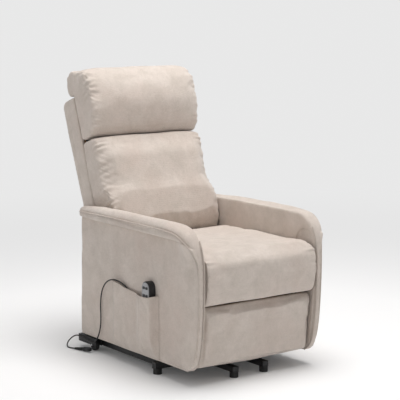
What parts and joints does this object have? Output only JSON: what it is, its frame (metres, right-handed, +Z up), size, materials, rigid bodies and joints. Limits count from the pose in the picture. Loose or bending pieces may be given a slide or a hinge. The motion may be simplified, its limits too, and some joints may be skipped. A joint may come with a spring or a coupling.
{
  "type": "lift recliner armchair",
  "caption": "Upholstered powered armchair on a steel base: it lifts and tilts forward, the back reclines, the leg rest swings out, and a corded handset sits in a side pocket.",
  "frame": {"origin": "on the floor, under the middle of the chair's outline without its free cord", "axes": "+Z up, -Y the way the sitter faces, +X the sitter's left"},
  "size_m": [0.6598, 0.9557, 1.0801],
  "materials": {
    "base_steel": "satin black powder coat",
    "mechanism_steel": "satin black paint",
    "pin_steel": "zinc plated",
    "foot_rubber": "matt black rubber",
    "wheel": "matt black",
    "motor": "matt black plastic and painted metal",
    "rod": "bright plated",
    "wood": "plain plywood",
    "webbing": "elastic webbing",
    "cover_fabric": "soft woven upholstery cloth, beige",
    "handset_black": "gloss black",
    "handset_silver": "satin silver",
    "button": "matt dark grey",
    "cord": "black cable sheath"
  },
  "bodies": {
    "base": {"base_cross_tubes": "base_steel", "base_rails": "base_steel", "foot_pads": "foot_rubber", "wheel_channels": "base_steel", "lift_pivot_brackets": "base_steel", "lift_motor_bracket": "base_steel", "base_pins": "pin_steel"},
    "wheel_right": {"wheel_right": "wheel"},
    "wheel_left": {"wheel_left": "wheel"},
    "lift_arm": {"lift_arms": "mechanism_steel", "lift_torque_tube": "mechanism_steel", "lift_lever": "mechanism_steel"},
    "lift_link": {"lift_links": "mechanism_steel"},
    "lift_motor": {"lift_motor_housing": "motor"},
    "lift_rod": {"lift_motor_rod": "rod"},
    "chassis": {"mechanism_plates": "mechanism_steel", "chassis_pivot_pins": "pin_steel", "seat_frame_rails": "wood", "seat_webbing": "webbing", "chassis_rear_tube": "mechanism_steel", "motor_brackets": "mechanism_steel", "leg_tube_brackets": "mechanism_steel", "leg_motor_housing": "motor", "control_box": "motor", "side_boards": "wood", "side_panel_right": "cover_fabric", "side_panel_left": "cover_fabric", "arm_pad_right": "cover_fabric", "arm_pad_left": "cover_fabric", "seat_cushion": "cover_fabric", "rear_apron": "cover_fabric", "handset_pocket": "cover_fabric", "handset_shell": "handset_black", "handset_face_plate": "handset_silver", "handset_cord": "cord", "cord_gland": "cord", "plug_strain_relief": "cord", "cord_plug": "cord"},
    "back": {"back_uprights": "wood", "back_cross_rails": "wood", "back_hinge_plates": "mechanism_steel", "back_webbing": "webbing", "back_cushion": "cover_fabric", "headrest": "cover_fabric", "back_shell": "cover_fabric", "back_lever": "mechanism_steel"},
    "back_motor": {"back_motor_housing": "motor"},
    "back_rod": {"back_motor_rod": "rod"},
    "leg_drive": {"leg_drive_tube": "mechanism_steel", "leg_drive_links": "mechanism_steel", "leg_drive_lever": "mechanism_steel"},
    "leg_carrier": {"leg_carrier_links": "mechanism_steel"},
    "footrest": {"footrest_board": "wood", "footrest_pad": "cover_fabric", "footrest_brackets": "mechanism_steel"},
    "leg_rod": {"leg_motor_rod": "rod"},
    "button_lift_up": {"button_lift_up": "button"},
    "button_lift_down": {"button_lift_down": "button"},
    "button_recline_up": {"button_recline_up": "button"},
    "button_recline_down": {"button_recline_down": "button"}
  },
  "joints": [
    {"name": "lift", "type": "hinge", "parent": "base", "child": "lift_arm", "pos_m": [0, -0.197, 0.095], "axis": [1, 0, 0], "range_deg": [0, 58]},
    {"name": "chassis_tilt", "type": "hinge", "parent": "lift_arm", "child": "chassis", "pos_m": [0, 0.188, 0.108], "axis": [1, 0, 0], "range_deg": [-32, 1]},
    {"name": "lift_link_swing", "type": "hinge", "parent": "base", "child": "lift_link", "pos_m": [0, -0.1751, 0.0758], "axis": [1, 0, 0], "range_deg": [-1, 58]},
    {"name": "lift_motor_tilt", "type": "hinge", "parent": "base", "child": "lift_motor", "pos_m": [0, 0.215, 0.075], "axis": [1, 0, 0], "range_deg": [-1, 6]},
    {"name": "lift_rod_slide", "type": "slide", "parent": "lift_motor", "child": "lift_rod", "axis": [0, -0.9817, 0.1906], "range_m": [-0.001, 0.052]},
    {"name": "recline", "type": "hinge", "parent": "chassis", "child": "back", "pos_m": [0, 0.103, 0.3], "axis": [1, 0, 0], "range_deg": [-40, 0]},
    {"name": "back_motor_tilt", "type": "hinge", "parent": "chassis", "child": "back_motor", "pos_m": [0, -0.147, 0.22], "axis": [1, 0, 0], "range_deg": [-10, 1]},
    {"name": "back_rod_slide", "type": "slide", "parent": "back_motor", "child": "back_rod", "axis": [0, 0.9996, 0.0298], "range_m": [-0.064, 0.001]},
    {"name": "leg_rest", "type": "hinge", "parent": "chassis", "child": "leg_drive", "pos_m": [0, -0.3769, 0.1971], "axis": [1, 0, 0], "range_deg": [-100, 0]},
    {"name": "leg_carrier_swing", "type": "hinge", "parent": "leg_drive", "child": "leg_carrier", "pos_m": [0, -0.261, 0.0623], "axis": [1, 0, 0], "range_deg": [-1, 73]},
    {"name": "footrest_turn", "type": "hinge", "parent": "leg_carrier", "child": "footrest", "pos_m": [0, -0.3841, 0.2591], "axis": [1, 0, 0], "range_deg": [-61, 1]},
    {"name": "leg_rod_slide", "type": "slide", "parent": "chassis", "child": "leg_rod", "axis": [0, -1, 0], "range_m": [-0.001, 0.067]},
    {"name": "wheel_right_spin", "type": "hinge", "parent": "base", "child": "wheel_right", "pos_m": [-0.27, 0.227, 0.023], "axis": [1, 0, 0], "continuous": true},
    {"name": "wheel_left_spin", "type": "hinge", "parent": "base", "child": "wheel_left", "pos_m": [0.27, 0.227, 0.023], "axis": [1, 0, 0], "continuous": true},
    {"name": "button_lift_up_press", "type": "slide", "parent": "chassis", "child": "button_lift_up", "axis": [1, 0, 0], "range_m": [0, 0.0012], "stiffness_N_per_m": 600},
    {"name": "button_lift_down_press", "type": "slide", "parent": "chassis", "child": "button_lift_down", "axis": [1, 0, 0], "range_m": [0, 0.0012], "stiffness_N_per_m": 600},
    {"name": "button_recline_up_press", "type": "slide", "parent": "chassis", "child": "button_recline_up", "axis": [1, 0, 0], "range_m": [0, 0.0012], "stiffness_N_per_m": 600},
    {"name": "button_recline_down_press", "type": "slide", "parent": "chassis", "child": "button_recline_down", "axis": [1, 0, 0], "range_m": [0, 0.0012], "stiffness_N_per_m": 600}
  ],
  "couplings": [
    {"joint": "chassis_tilt", "follows": "lift", "ratio": -0.53448},
    {"joint": "lift_link_swing", "follows": "lift", "ratio": 0.972},
    {"joint": "lift_motor_tilt", "follows": "lift", "ratio": 0.0694},
    {"joint": "lift_rod_slide", "follows": "lift", "m_per_rad": 0.049698},
    {"joint": "back_motor_tilt", "follows": "recline", "ratio": 0.204},
    {"joint": "back_rod_slide", "follows": "recline", "m_per_rad": 0.0882},
    {"joint": "leg_carrier_swing", "follows": "leg_rest", "ratio": -0.71},
    {"joint": "footrest_turn", "follows": "leg_rest", "ratio": 0.59},
    {"joint": "leg_rod_slide", "follows": "leg_rest", "m_per_rad": -0.0373}
  ]
}
